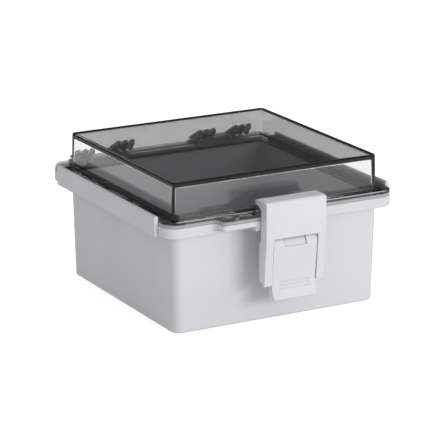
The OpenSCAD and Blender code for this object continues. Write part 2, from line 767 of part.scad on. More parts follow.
base_shell();
gasket();
panel_insert(-1, -1);  // panel_insert_fl
panel_insert(1, -1);  // panel_insert_fr
panel_insert(-1, 1);  // panel_insert_rl
panel_insert(1, 1);  // panel_insert_rr
side_rail(-1);  // side_rail_left
side_rail(1);  // side_rail_right
cover_shell();
hinge_pin(-1);  // hinge_pin_left
hinge_pin(1);  // hinge_pin_right
latch_lever();
lever_pin();
latch_hook();
hook_pin();
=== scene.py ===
# %% [markdown]
# # Hinged polycarbonate enclosure
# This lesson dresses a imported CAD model. The real object is a moulded grey base with a clear, smoke-tinted
# cover on two rear hinges and a draw latch at the front. The CAD model gives the sizes and the joints, and
# everything here is placed from them. X runs along the front, -Y is the latch side, +Y the hinge side and Z
# is up. The scene is in metres, and the arrays that make shapes are in millimetres.

import json
import math

import bmesh
import bpy
import numpy as np
from mathutils import Matrix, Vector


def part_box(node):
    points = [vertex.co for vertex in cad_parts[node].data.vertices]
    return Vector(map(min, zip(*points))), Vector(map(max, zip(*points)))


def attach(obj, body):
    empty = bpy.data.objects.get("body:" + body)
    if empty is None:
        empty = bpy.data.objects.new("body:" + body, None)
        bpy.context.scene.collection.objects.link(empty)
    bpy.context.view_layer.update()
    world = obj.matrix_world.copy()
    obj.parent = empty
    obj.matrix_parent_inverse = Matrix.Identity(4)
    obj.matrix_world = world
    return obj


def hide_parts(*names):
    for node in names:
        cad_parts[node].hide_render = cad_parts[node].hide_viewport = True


MM = 0.001
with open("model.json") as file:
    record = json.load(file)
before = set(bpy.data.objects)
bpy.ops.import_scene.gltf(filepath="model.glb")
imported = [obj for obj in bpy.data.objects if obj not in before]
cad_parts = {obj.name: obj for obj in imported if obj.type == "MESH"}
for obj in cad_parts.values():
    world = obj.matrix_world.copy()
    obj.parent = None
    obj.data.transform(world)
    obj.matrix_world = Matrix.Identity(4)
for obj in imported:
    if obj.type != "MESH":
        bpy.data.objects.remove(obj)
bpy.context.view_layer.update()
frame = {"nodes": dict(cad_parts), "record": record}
nodes = frame["nodes"]

# %% [markdown]
# ## Camera
# A long lens from far away keeps the upright edges almost parallel, as in a catalogue picture. The camera
# stands at front left, 16 degrees above the horizon, and looks at the middle of the box. The lamp is aimed in
# the same way, so one function works out the place and the three directions for both.

# %% Camera
CAMERA_AZIMUTH, CAMERA_ELEVATION, CAMERA_DISTANCE = -28.982, 16.339, 2.1239
LOOKED_AT = (-0.001097, 0.0, 0.062288)


def aimed(azimuth, elevation, distance, target):
    """Matrix at target + distance * back, with back = (sin a cos e, -cos a cos e, sin e), right =
    (cos a, sin a, 0) and up = back x right, where a is the azimuth and e the elevation."""
    a, e = math.radians(azimuth), math.radians(elevation)
    back = np.array([math.sin(a) * math.cos(e), -math.cos(a) * math.cos(e), math.sin(e)])
    right = np.array([math.cos(a), math.sin(a), 0.0])
    matrix = np.eye(4)
    matrix[:3, 0], matrix[:3, 1], matrix[:3, 2] = right, np.cross(back, right), back
    matrix[:3, 3] = np.array(target) + distance * back
    return Matrix(matrix.tolist())


def add_to_scene(name, data, matrix=None):
    """Links a new object to the scene, at the origin unless it gets a matrix."""
    made = bpy.data.objects.new(name, data)
    bpy.context.scene.collection.objects.link(made)
    if matrix is not None:
        made.matrix_world = matrix
    return made


lens = bpy.data.cameras.new("camera")
lens.lens, lens.sensor_width, lens.clip_end = 193.06, 36, 50
camera = add_to_scene("camera", lens, aimed(CAMERA_AZIMUTH, CAMERA_ELEVATION, CAMERA_DISTANCE, LOOKED_AT))
bpy.context.scene.camera = camera
print("camera at", [round(v, 3) for v in camera.matrix_world.translation])

# %% [markdown]
# ## Shared sizes
# The frame gives the main places. The rim's half width comes from the box of the base, and the cover's top
# from the box of the cover. The joints give the hinge axis, with the rim's rear edge 6 mm in front of it, and
# the latch lever's axis, as (y, z) pairs. All other sizes are those of the CAD source.

# %% Shared sizes
base_low, base_high = (np.array(corner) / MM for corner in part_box("base_shell"))
cover_low, cover_high = (np.array(corner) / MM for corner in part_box("cover_shell"))
joint_at = {j["name"]: np.array(j["pos_m"]) / MM for j in frame["record"]["behaviour"]["joints"]}
EYE, LEVER_AT = joint_at["cover_hinge"][1:], joint_at["lever_pivot"][1:]
RIM_X, RIM_REAR, RIM_FRONT, RIM_CORNER = float(base_high[0]), float(EYE[0]) - 6.0, -112.0, 13.0
PART_Z = 97.2
RIM_LOW, COVER_Z, FLANGE_Z, TOP_Z = PART_Z - 9.1, PART_Z + 0.3, PART_Z + 5.8, float(cover_high[2])
print("base in mm:", base_low.round(1), "to", base_high.round(1), "with its hinge axis at", EYE.round(1))
print("cover in mm:", cover_low.round(1), "to", cover_high.round(1))

# %% Sizes of the hinges, the ear, the keeper and the latch lug
EYE_R, BORE_R, WIDE_HALF, FIN_HALF = 5.2, 2.56, 10.05, 1.6
HINGE_AT, GROUP_STEP, FIN_STEP = 61.8, 19.1, 7.1
FIN_GROUPS = [side * HINGE_AT + group * GROUP_STEP for side in (-1, 1) for group in (-1, 1)]
EAR_X, EAR_Y, EAR_R, EAR_INNER_X = -65.7, RIM_FRONT - 11.5, 3.7, -33
SEAL_HOLE, SEAL_HOLE_R = (-50.0, RIM_FRONT - 4.9), 3.3
KEEPER_X, KEEPER_Y, KEEPER_TOP = 34.0, EAR_Y + 1.1, PART_Z + 12.7
LUG_R, LUG_HALF, RIB_T = 5.8, 10.25, 3
SCREW_X, SCREW_Y, SCREW_R, BOSS_AT, PEG_HOLE_R = 85, 55, 2.6, 80, 2.3
PEGS = [(side * (RIM_X - inset), y) for side in (-1, 1)
        for inset, y in ((6.1, RIM_FRONT + 5.7), (4.6, RIM_REAR - 8.5))]
print("groups of fins:", len(FIN_GROUPS), "pegs:", len(PEGS), "seal hole at", SEAL_HOLE)

# %% [markdown]
# ## Shader maths as Python
# A node tree is easier to read as a formula. The class below wraps one output socket, so that
# `1 - mask * 0.3` adds the Math nodes by itself. Any other node comes from `node`, which takes its type,
# the values or links of its sockets, and its settings.


# %% Socket wrapper
class Value:
    """One output socket of a node tree, which can be used in arithmetic."""

    def __init__(self, tree, socket=None):
        self.tree, self.socket = tree, socket

    def node(self, kind, sockets=None, out=0, **settings):
        """Adds a node: its settings first, then a value or a link for each socket."""
        made = self.tree.nodes.new(kind)
        for name, value in settings.items():
            setattr(made, name, value)
        for name, value in (sockets or {}).items():
            self.put(made.inputs[name], value)
        return Value(self.tree, made.outputs[out] if len(made.outputs) else None)

    def put(self, entry, value):
        """Links a Value to a socket, or writes a plain number or colour into it."""
        if isinstance(value, Value):
            self.tree.links.new(value.socket, entry)
        else:
            entry.default_value = value

    def other(self, out):
        """Another output of the same node."""
        return Value(self.tree, self.socket.node.outputs[out])

    def math(self, operation, *values):
        """A Math node whose inputs are the values, in order."""
        return self.node("ShaderNodeMath", dict(enumerate(values)), operation=operation)

    def __add__(self, other):
        return self.math("ADD", self, other)

    __radd__ = __add__

    def __sub__(self, other):
        return self.math("SUBTRACT", self, other)

    def __rsub__(self, other):
        return self.math("SUBTRACT", other, self)

    def __mul__(self, other):
        return self.math("MULTIPLY", self, other)

    __rmul__ = __mul__

    def smooth(self, off, full):
        """0 at off, 1 at full, and a soft step between. Off may be the larger of the two."""
        return self.node("ShaderNodeMapRange", {"Value": self, "From Min": off, "From Max": full},
                         interpolation_type="SMOOTHSTEP")

    def blend(self, low, high):
        """The colour low where this value is 0, and high where it is 1."""
        return self.node("ShaderNodeMix", {"Factor": self, 6: (*low, 1.0), 7: (*high, 1.0)},
                         out=2, data_type="RGBA")


def empty_tree(owner):
    """Empties the node tree of a material or a world and returns a Value to start from."""
    owner.use_nodes = True
    owner.node_tree.nodes.clear()
    return Value(owner.node_tree)


def grey(level):
    """A neutral colour."""
    return level, level, level


def finish_of(name, varied, **constants):
    """A material with one Principled shader. varied(start) returns what changes over the surface, and the
    constants are written straight into the shader's sockets."""
    material = bpy.data.materials.new(name)
    start = empty_tree(material)
    shader = start.node("ShaderNodeBsdfPrincipled")
    for key, value in {**constants, **varied(start)}.items():
        start.put(shader.socket.node.inputs[key], value)
    start.node("ShaderNodeOutputMaterial", {"Surface": shader})
    return material


print("socket wrapper ready")

# %% [markdown]
# ## Moulded plastic
# The base, the rails and the latch are moulded in a pale grey plastic with a fine satin texture. Over a whole
# wall the tone drifts very slightly, and close up there is a grain of a few tenths of a millimetre. A real
# moulding has no knife-sharp edges, so the Bevel node rounds the shading of each edge by half a millimetre.


# %% Moulded plastic
def moulded(colour, roughness):
    """What varies on a moulding: a slow drift of tone, a fine grain and soft edges."""
    darker, lighter = [c * 0.98 for c in colour], [c * 1.015 for c in colour]

    def varied(s):
        place = s.node("ShaderNodeTexCoord", out="Object")
        drift = s.node("ShaderNodeTexNoise", {"Vector": place, "Scale": 14.0, "Detail": 2.0})
        grain = s.node("ShaderNodeTexNoise", {"Vector": place, "Scale": 2600.0, "Detail": 2.0})
        rounded = s.node("ShaderNodeBevel", {"Radius": 0.0005}, samples=4)
        return {"Base Color": drift.smooth(0.35, 0.65).blend(darker, lighter),
                "Roughness": roughness + 0.12 * (grain - 0.5),
                "Normal": s.node("ShaderNodeBump", {"Strength": 0.15, "Distance": 0.00005, "Height": grain,
                                                    "Normal": rounded})}
    return varied


base_plastic = finish_of("base_plastic", moulded((0.70, 0.706, 0.725), 0.42), IOR=1.5)
rail_plastic = finish_of("rail_plastic", moulded((0.69, 0.696, 0.715), 0.46), IOR=1.5)
latch_plastic = finish_of("latch_plastic", moulded((0.73, 0.736, 0.75), 0.38), IOR=1.5)
print("three moulded finishes")

# %% [markdown]
# ## Places on the cover
# A clear moulding doesn't look the same all over. Light is trapped in the narrow sides of the leaning fins
# and at the foot of the side walls, and that shade is painted there as a dark colour. The flange's shade from
# above is painted near black, and on its edge the light of the pale rim below and a thin highlight line are
# painted in a pale opaque colour. Vertex colours could say where each of these is. A few masks worked out
# from
# Object coordinates do it without a second set of data, from the same sizes as the shape.


# %% Places on the cover
def cover_places(s):
    """Masks over the cover, each from 0 to 1, out of the point's place (x, y, z) in millimetres. Each pair
    of numbers is where a mask is off and where it is full. Masks by from_middle = max(|x| + 2, |y|) start
    2 mm further in at left and right than at front and rear. The fins repeat along |x|, so a triangle wave
    gives the distance from the middle of the nearest fin."""
    metres = s.node("ShaderNodeTexCoord", out="Object")
    point = s.node("ShaderNodeVectorMath", {0: metres, "Scale": 1 / MM}, operation="SCALE")
    x = s.node("ShaderNodeSeparateXYZ", {"Vector": point})
    y, z, across = x.other("Y"), x.other("Z"), s.math("ABSOLUTE", x)
    from_middle = s.math("MAXIMUM", across + 2.0, s.math("ABSOLUTE", y))
    from_hinge = s.math("ABSOLUTE", across - HINGE_AT)
    from_fin = s.math("PINGPONG", from_hinge - (GROUP_STEP - FIN_STEP), FIN_STEP / 2)
    behind_wall = y.smooth(103.5, 104.5) * z.smooth(FLANGE_Z + 0.2, FLANGE_Z + 1.0)
    front_face = y.smooth(RIM_FRONT + 1.0, RIM_FRONT + 0.7) * y.smooth(RIM_FRONT - 0.4, RIM_FRONT)
    # Painted shade sits on the fins' sides, the walls' foot and the flange; the low edge carries painted
    # light of the rim below, and the top line a painted highlight.
    return {"fin_side_painted_shade": behind_wall * from_fin.smooth(0.9, 1.4),
            "wall_foot_painted_shade": z.smooth(FLANGE_Z + 3.8, FLANGE_Z + 2.4) * (0.95 * across.smooth(96.0, 96.6)),
            "flange": z.smooth(FLANGE_Z + 1.5, FLANGE_Z + 0.6),
            "rear_flange": y.smooth(95.5, 96.0) * z.smooth(FLANGE_Z + 0.1, FLANGE_Z - 0.1),
            "underside": z.smooth(COVER_Z + 0.2, COVER_Z + 0.1),
            "past_wall": s.math("MAXIMUM", from_middle - 4.5, y).smooth(102.2, 103.2),
            "past_rim": y.smooth(RIM_FRONT - 0.2, RIM_FRONT - 0.8),
            "low_edge_painted_light": from_middle.smooth(107.3, 107.8) * z.smooth(FLANGE_Z - 2.3, FLANGE_Z - 3.1),
            "top_line_painted_highlight": front_face * z.smooth(FLANGE_Z - 0.8, FLANGE_Z - 0.4)}


print("the flange lies from", COVER_Z, "to", FLANGE_Z, "mm")

# %% [markdown]
# ## Smoke-tinted clear plastic
# Polycarbonate bends light more than window glass does, with an index of 1.58. Its tint hardly shows where
# the eye looks straight through a wall, and turns dark where light runs along inside a wall. An absorbing
# volume gives exactly that, and a mix by the slope of the surface adds the smoke of a face seen at a slant,
# such as the top plate. Lamp light goes through the cover to the inside on a straight transparent path,
# because a bent path would only find a lamp by chance and fill the inside with noise. The eye goes straight
# on too where the flange rests on the rim, because nothing is mirrored where the two touch.


# %% Clear plastic
def clear_cover(name, tint, density, smoke, painted_shade_tone, lamp_light):
    """The cover's material. smoke is the tone of slanting faces, painted_shade_tone that of the painted shade
    on the fins' sides and the walls' foot, and lamp_light the share that each face lets straight through over
    the edge, over the ear and inside."""
    material = bpy.data.materials.new(name)
    s = empty_tree(material)
    at = cover_places(s)
    glass = {"Roughness": 0.0, "IOR": 1.58, "Transmission Weight": 1.0}
    # Painted shade: the fins' sides and the foot of the side walls get a dark base colour.
    dark = s.math("MAXIMUM", at["fin_side_painted_shade"], at["wall_foot_painted_shade"])
    upright = s.node("ShaderNodeBsdfPrincipled", {"Base Color": dark.blend(grey(1), grey(painted_shade_tone)), **glass})
    slope = s.node("ShaderNodeLayerWeight", {"Blend": 0.5}, out="Facing")
    # Painted shade: the flange and faces seen at a grazing slant are painted near black.
    painted_dark_edges = s.math("MAXIMUM", at["flange"] * 0.9, slope.smooth(0.76, 0.92))
    tone = painted_dark_edges.blend(grey(smoke), grey(0.02))
    slanting = s.node("ShaderNodeBsdfPrincipled", {"Base Color": tone, **glass})
    bent = s.node("ShaderNodeMixShader", {0: slope.smooth(0.58, 0.70), 1: upright, 2: slanting})
    over_edge, over_ear, over_inside = (
        s.node("ShaderNodeBsdfTransparent", {"Color": (*grey(share), 1)}) for share in lamp_light)
    outside = s.node("ShaderNodeMixShader", {0: at["past_rim"], 1: over_edge, 2: over_ear})
    unbent = s.node("ShaderNodeMixShader", {0: at["past_wall"], 1: over_inside, 2: outside})
    ray = s.node("ShaderNodeLightPath", out="Is Shadow Ray")
    straight_on = ray + ray.other("Is Diffuse Ray") + at["underside"] + at["rear_flange"]
    clear = s.node("ShaderNodeMixShader", {0: s.math("MINIMUM", straight_on, 1.0), 1: bent, 2: unbent})
    # Painted light: an opaque pale shader paints the lit rim below onto the flange's low edge, and a
    # highlight line along the top of its front edge.
    painted_rim_light_shader = s.node("ShaderNodeBsdfPrincipled", {"Base Color": (0.62, 0.62, 0.63, 1), "Roughness": 0.3})
    pale = s.math("MAXIMUM", at["low_edge_painted_light"] * 0.62, at["top_line_painted_highlight"] * 0.9)
    surface = s.node("ShaderNodeMixShader", {0: pale, 1: clear, 2: painted_rim_light_shader})
    inside = s.node("ShaderNodeVolumeAbsorption", {"Color": (*tint, 1.0), "Density": density})
    s.node("ShaderNodeOutputMaterial", {"Surface": surface, "Volume": inside})
    return material


cover_clear = clear_cover("cover_clear", tint=(0.42, 0.43, 0.45), density=20.0, smoke=0.55, painted_shade_tone=0.15,
                          lamp_light=(0.95, 0.3, 0.57))
print("clear finish")

# %% [markdown]
# ## Rubber, steel and brass
# The sealing cord is a dark foamed rubber with small closed pores. The pins are drawn steel with fine lines
# along their length, and the threaded inserts are turned brass.


# %% Rubber and metals
def foamed(s):
    """What varies on the cord: pores that are darker, rougher and slightly sunk."""
    place = s.node("ShaderNodeTexCoord", out="Object")
    pores = s.node("ShaderNodeTexNoise", {"Vector": place, "Scale": 900.0, "Detail": 3.0})
    return {"Roughness": 0.7 + 0.2 * pores,
            "Base Color": pores.smooth(0.3, 0.7).blend((0.022, 0.022, 0.024), (0.04, 0.04, 0.042)),
            "Normal": s.node("ShaderNodeBump", {"Strength": 0.4, "Distance": 0.0002, "Height": pores})}


def drawn(roughness, stretch):
    """What varies on drawn or turned metal: noise that is stretched into fine lines."""

    def varied(s):
        place = s.node("ShaderNodeTexCoord", out="Object")
        along = s.node("ShaderNodeMapping", {"Vector": place, "Scale": stretch})
        lines = s.node("ShaderNodeTexNoise", {"Vector": along, "Scale": 1.0, "Detail": 2.0})
        return {"Roughness": roughness + 0.15 * lines,
                "Normal": s.node("ShaderNodeBump", {"Strength": 0.1, "Distance": 0.00002, "Height": lines})}
    return varied


STEEL, BRASS = {"Base Color": (0.62, 0.62, 0.63, 1)}, {"Base Color": (0.78, 0.6, 0.3, 1)}
seal_rubber = finish_of("seal_rubber", foamed)
pin_steel = finish_of("pin_steel", drawn(0.22, (60, 3000, 3000)), Metallic=1.0, **STEEL)
insert_brass = finish_of("insert_brass", drawn(0.28, (300, 300, 4000)), Metallic=1.0, **BRASS)
print("rubber, steel and brass")

# %% [markdown]
# ## From arrays to meshes
# Most mouldings here are one of two shapes. The first is a stack of rounded rectangles, each with its own
# size, corner radius and height, joined by a skin: the tub and the cover. The second is a flat outline drawn
# out along an axis, with its edges rounded: knuckles, ribs, ears. Both are worked out as whole arrays in
# millimetres, and one function turns the arrays into a mesh.


# %% Skins
def skin(rings, closed=False):
    """Joins rings, an array (m, n, 3), with quads between neighbours, and caps both ends with one flat face
    unless the last ring meets the first again."""
    m, n = rings.shape[:2]
    i, j = np.meshgrid(np.arange(m if closed else m - 1), np.arange(n), indexing="ij")
    i2, j2 = (i + 1) % m, (j + 1) % n
    quads = np.stack([i * n + j, i * n + j2, i2 * n + j2, i2 * n + j], -1).reshape(-1, 4).tolist()
    caps = [] if closed else [list(range(n))[::-1], list(range((m - 1) * n, m * n))]
    return rings.reshape(-1, 3), quads + caps


def together(*parts):
    """Stacks several (points, faces) pairs into one pair, with each part's face numbers moved up by the count
    of the points before it."""
    starts = np.cumsum([0] + [len(p) for p, _ in parts])
    faces = [[v + int(k) for v in f] for (_, fs), k in zip(parts, starts) for f in fs]
    return np.concatenate([p for p, _ in parts]), faces


print("two rings of four points make", len(skin(np.zeros((2, 4, 3)))[1]), "faces")

# %% Pieces
SHARP_ANGLE = math.radians(35)


def soften_shading(piece):
    """Smooth shading that stays flat on flat faces: sharp edges by angle, normals weighted by area."""
    piece.data.shade_smooth()
    piece.data.set_sharp_from_angle(angle=SHARP_ANGLE)
    piece.modifiers.new("weighted", "WEIGHTED_NORMAL").keep_sharp = True


def mesh_piece(name, shape, material):
    """A mesh object from (points in mm, faces), with merged doubles and outward faces."""
    points, faces = shape
    mesh = bpy.data.meshes.new(name)
    mesh.from_pydata((points * MM).tolist(), [], faces)
    merged = bmesh.new()
    merged.from_mesh(mesh)
    bmesh.ops.remove_doubles(merged, verts=merged.verts, dist=1e-7)
    bmesh.ops.recalc_face_normals(merged, faces=merged.faces)
    merged.to_mesh(mesh)
    merged.free()
    mesh.materials.append(material)
    made = add_to_scene(name, mesh)
    soften_shading(made)
    return made


print("edges above", round(math.degrees(SHARP_ANGLE)), "degrees stay sharp")


# %% Rounded rectangles and rounded paths
def plan_rings(rows, arc):
    """Rounded rectangles from rows (half width, front y, rear y, corner radius, z): four arcs of arc points,
    centre + r (cos t, sin t), whose ends are joined by the straight sides."""
    hx, y0, y1, r, z = (np.asarray(rows, float).T)[:, :, None]
    t = (np.arange(4)[:, None] * np.pi / 2 + np.linspace(0, np.pi / 2, arc)).ravel()
    side = np.repeat([1, -1, -1, 1], arc)
    rear = np.repeat([True, True, False, False], arc)
    x = side * (hx - r) + r * np.cos(t)
    y = np.where(rear, y1 - r, y0 + r) + r * np.sin(t)
    return np.stack([x, y, z + 0 * t], -1)


def soften(rows, radii, steps=5):
    """Rounds the corners of a path of rows. At corner C with A before and B after, both at the radius away,
    the points are C + (A - C)(1 - sin t) + (B - C)(1 - cos t) for t from 0 to 90 degrees."""
    rows = np.asarray(rows, float)
    t = np.linspace(0, np.pi / 2, steps)[:, None]
    made = [rows[:1]]
    for before, c, after, radius in zip(rows, rows[1:], rows[2:], radii):
        legs = [end - c for end in (before, after)]
        a, b = (leg * min(0.5, radius / math.hypot(leg[0], leg[4])) for leg in legs)
        made.append(c + a * (1 - np.sin(t)) + b * (1 - np.cos(t)) if radius else c[None])
    return np.concatenate(made + [rows[-1:]])


print("a rounded rectangle has", plan_rings([(20, -10, 10, 2, 0)], 9).shape[1], "points")


# %% Drawn and turned shapes
def drawn_out(outline, low, high, axis="x", edge=0.4, steps=4):
    """Draws a closed outline out from low to high along an axis, with both rims rounded. A point moves
    inwards by d (n1 + n2) / (1 + n1 . n2), where n1 and n2 are the inward normals of its two sides."""
    outline = np.asarray(outline, float)
    after = np.roll(outline, -1, 0)
    sides = after - outline
    turn = np.sign(np.sum(outline[:, 0] * after[:, 1] - outline[:, 1] * after[:, 0]))
    n2 = turn * np.stack([-sides[:, 1], sides[:, 0]], -1) / np.linalg.norm(sides, axis=1)[:, None]
    n1 = np.roll(n2, 1, 0)
    mitre = (n1 + n2) / (1 + np.sum(n1 * n2, 1))[:, None]
    t = np.linspace(0, np.pi / 2, steps)
    inset = edge * np.concatenate([1 - np.sin(t), (1 - np.sin(t))[::-1]])
    place = np.concatenate([low + edge * (1 - np.cos(t)), (high - edge * (1 - np.cos(t)))[::-1]])
    flat = outline[None] + inset[:, None, None] * mitre[None]
    u, v, w = flat[..., 0], flat[..., 1], place[:, None] + 0 * flat[..., 0]
    return skin(np.stack({"x": (w, u, v), "z": (u, v, w)}[axis], -1))


def turned(profile, centre, axis="z", sides=32, closed=False):
    """Turns a profile of (radius, place along the axis) rows about the axis through a centre, with r cos t
    and r sin t across it. A closed profile makes a ring, with no cap."""
    r, w = np.asarray(profile, float).T[:, :, None]
    t = np.arange(sides) * 2 * np.pi / sides
    u, v = r * np.cos(t), r * np.sin(t)
    rings = np.stack({"x": (w + 0 * t, u, v), "z": (u, v, w + 0 * t)}[axis], -1)
    return skin(rings + np.array(centre, float), closed)


def around(centre, radius, start, end, steps=9):
    """Points of an arc, centre + radius (cos t, sin t), with the angles in degrees."""
    t = np.radians(np.linspace(start, end, steps))
    return np.stack([centre[0] + radius * np.cos(t), centre[1] + radius * np.sin(t)], -1)


print("a drawn-out half disc has", len(drawn_out(around((0, 0), 5, 0, 180), 0, 20)[1]), "faces")


# %% Booleans and hand-over to the frame
def carve(piece, shape, operation="DIFFERENCE"):
    """Joins a closed shape to a piece or takes it away, with an exact Boolean that is applied at once."""
    tool = mesh_piece("tool", shape, piece.data.materials[0])
    tool.modifiers.clear()
    piece.modifiers.clear()
    cut = piece.modifiers.new("cut", "BOOLEAN")
    cut.object, cut.operation, cut.solver = tool, operation, "EXACT"
    view = bpy.context.evaluated_depsgraph_get()
    result = bpy.data.meshes.new_from_object(piece.evaluated_get(view))
    piece.modifiers.clear()
    piece.data = result
    bpy.data.objects.remove(tool)


def dress(piece, body, slot, *replaced):
    """Tells the frame which body carries a piece and hides the CAD nodes it stands for. slot, its finish, is
    not used.
    """
    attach(piece, body)
    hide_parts(*replaced)
    size, count = [round(d / MM, 1) for d in piece.dimensions], len(piece.data.vertices)
    print(piece.name, "stands for", ", ".join(replaced), "and has", count, "points, size", size)


print("Boolean and hand-over ready")

# %% [markdown]
# ## The base
# One closed skin makes the tub: it starts in the middle of the underside, climbs the drafted wall, goes out
# under the rim and over it, down and up through the gasket's groove, and ends in the middle of the floor.
# The first and the last row only bound the flat face in the middle. Knuckles, ribs, bosses and pegs grow out
# of the tub as they do in one moulding.

# %% Tub and rim
WALL_FOOT, WALL_TOP, WALL_CORNER = 100.2, 101.9, 8
INNER_TOP, INNER_FOOT, INNER_CORNER, FLOOR_Z = 98.5, 96.7, 4.5, 3.5
GROOVE_OUT, GROOVE_IN, GROOVE_Z = (108.8, 14.8), (103.2, 9.2), PART_Z - 4.4


def square_row(half, radius, z):
    """A row of a square with rounded corners."""
    return half, -half, half, radius, z


def rim_row(z, room=0.0):
    """A row of the rim's outline, with some room for the rails at left and right."""
    return RIM_X - room, RIM_FRONT, RIM_REAR, RIM_CORNER, z


tub_rows = soften(
    [square_row(92, 3, 0), square_row(WALL_FOOT, WALL_CORNER, 0), square_row(WALL_TOP, WALL_CORNER, RIM_LOW),
     rim_row(RIM_LOW), rim_row(PART_Z),
     square_row(*GROOVE_OUT, PART_Z), square_row(*GROOVE_OUT, GROOVE_Z),
     square_row(*GROOVE_IN, GROOVE_Z), square_row(*GROOVE_IN, PART_Z),
     square_row(INNER_TOP, INNER_CORNER, PART_Z), square_row(INNER_FOOT, INNER_CORNER, FLOOR_Z),
     square_row(88, 1, FLOOR_Z)],
    [1.5, 1.0, 0.8, 0.6, 0.25, 0.4, 0.4, 0.25, 0.6, 1.5])
base = mesh_piece("base", skin(plan_rings(tub_rows, 12)), base_plastic)
print("tub:", len(tub_rows), "rings")

# %% [markdown]
# The seal ear leaves the rim in an S-shaped shoulder and carries a hole for a padlock or sealing wire. Base
# and cover have the same ear, so its outline is made once.


# %% Ear and holes
def ear_outline():
    """The ear from above: a hollow quarter circle out of the rim, then a round one into the ear's front."""
    shoulder = around((EAR_X - EAR_R, RIM_FRONT - EAR_R), EAR_R, 90, 0)
    nose = around((EAR_X + EAR_R, EAR_Y + EAR_R), EAR_R, 180, 270)
    root = [(EAR_INNER_X, RIM_FRONT + 2), (EAR_X - EAR_R, RIM_FRONT + 2)]
    return np.concatenate([root, shoulder, nose, [(EAR_INNER_X, EAR_Y)]])


def box_outline(x0, x1, y0, y1):
    """A rectangle from above."""
    return np.array([(x0, y0), (x1, y0), (x1, y1), (x0, y1)], float)


def hole(x, y, radius, low, high):
    """An upright cylinder that cuts a hole."""
    return turned([(radius, low), (radius, high)], (x, y, 0), sides=40)


SCREWS = [(x, y) for x in (-SCREW_X, SCREW_X) for y in (-SCREW_Y, SCREW_Y)]
carve(base, together(*[hole(*place, SCREW_R, -1, 8) for place in SCREWS]))
ear_low = mesh_piece("ear_low", drawn_out(ear_outline(), PART_Z - 4.6, PART_Z, "z", 0.5), base_plastic)
carve(ear_low, hole(*SEAL_HOLE, SEAL_HOLE_R, 80, 100))
print("ear and holes cut")

# %% [markdown]
# A knuckle is a round eye with straight flanks that touch it, so its outline needs the points where a line
# meets two circles. The same formula serves the knuckles, the leaning fins and the ribs under the latch.


# %% Base hinge knuckles and latch lug
def tangent(p, a, q, b, side):
    """Unit normal of the line that touches circles (p, a) and (q, b) on one side: turn the unit vector from
    p to q by the angle whose cosine is (a - b) / distance."""
    d = np.subtract(q, p)
    far = np.linalg.norm(d)
    c = (a - b) / far
    s = side * math.sqrt(1 - c * c)
    return np.array([d[0] * c - d[1] * s, d[1] * c + d[0] * s]) / far


def angle_of(n):
    """Angle of a direction in degrees."""
    return math.degrees(math.atan2(n[1], n[0]))


def base_knuckle(x0, x1):
    """A knuckle of the base: a flank up from under the rim, round the eye, and back to the parting line."""
    foot = np.array([RIM_REAR - 1, RIM_LOW + 1])
    under = angle_of(tangent(foot, 0, EYE, EYE_R, -1))
    meet = 180 + math.degrees(math.asin((EYE[1] - PART_Z) / EYE_R))
    outline = np.concatenate([[foot], around(EYE, EYE_R, under, meet, 25), [(RIM_REAR - 1, PART_Z)]])
    return drawn_out(outline, x0, x1, edge=0.35)


def knuckle_spans():
    """Where the base's knuckles stand along x: a wide one in each hinge and two thin ones in each group."""
    for side in (-HINGE_AT, HINGE_AT):
        yield side - WIDE_HALF, side + WIDE_HALF
        for group in (-GROUP_STEP, GROUP_STEP):
            for step in (-FIN_STEP / 2, FIN_STEP / 2):
                middle = side + group + step
                yield middle - FIN_HALF, middle + FIN_HALF


def lug():
    """The latch lug: a barrel about the lever's pin on three ribs that run up to the rim."""
    ribs = []
    low = np.array([-101.0, LEVER_AT[1] - 14])
    start, end = angle_of(tangent(LEVER_AT, LUG_R, low, 0, -1)), 70 - 360
    up = [(KEEPER_Y + 4, RIM_LOW + 2), (low[0], RIM_LOW + 2)]
    outline = np.concatenate([[low], around(LEVER_AT, LUG_R, start, end, 15), up])
    for x in (-LUG_HALF, -RIB_T / 2, LUG_HALF - RIB_T):
        ribs.append(drawn_out(outline, x, x + RIB_T, edge=0.3))
    ends = [(LUG_R - 0.4, LUG_HALF), (LUG_R, LUG_HALF - 0.4)]
    barrel = turned([(r, -x) for r, x in ends] + ends[::-1], (0, *LEVER_AT), "x", 64)
    return together(barrel, *ribs)


print("lug under the latch:", [round(float(v), 1) for v in LEVER_AT])

# %% [markdown]
# The bosses, the collars round the screw holes and the pegs are turned shapes, each from a short profile. The
# pieces that only touch or enter the tub are copied into its mesh: an opaque plastic hides what lies inside.

# %% Join the base
BOSS = [(5.2, 3.0), (5.0, 11.9), (4.4, 12.5), (2.8, 12.5), (2.8, 5.5)]
COLLAR = [(SCREW_R, 3.0), (SCREW_R, 6.5), (5.1, 6.5), (5.5, 6.1), (5.5, 3.0)]
PEG = [(1.8, PART_Z - 1), (1.8, PART_Z + 1.4), (1.2, PART_Z + 2)]


def join_into(piece, *others):
    """Copies the faces of other pieces into one mesh and shades it again."""
    whole = bmesh.new()
    for part in (piece, *others):
        whole.from_mesh(part.data)
    whole.to_mesh(piece.data)
    whole.free()
    for part in others:
        bpy.data.objects.remove(part)
    piece.modifiers.clear()
    soften_shading(piece)


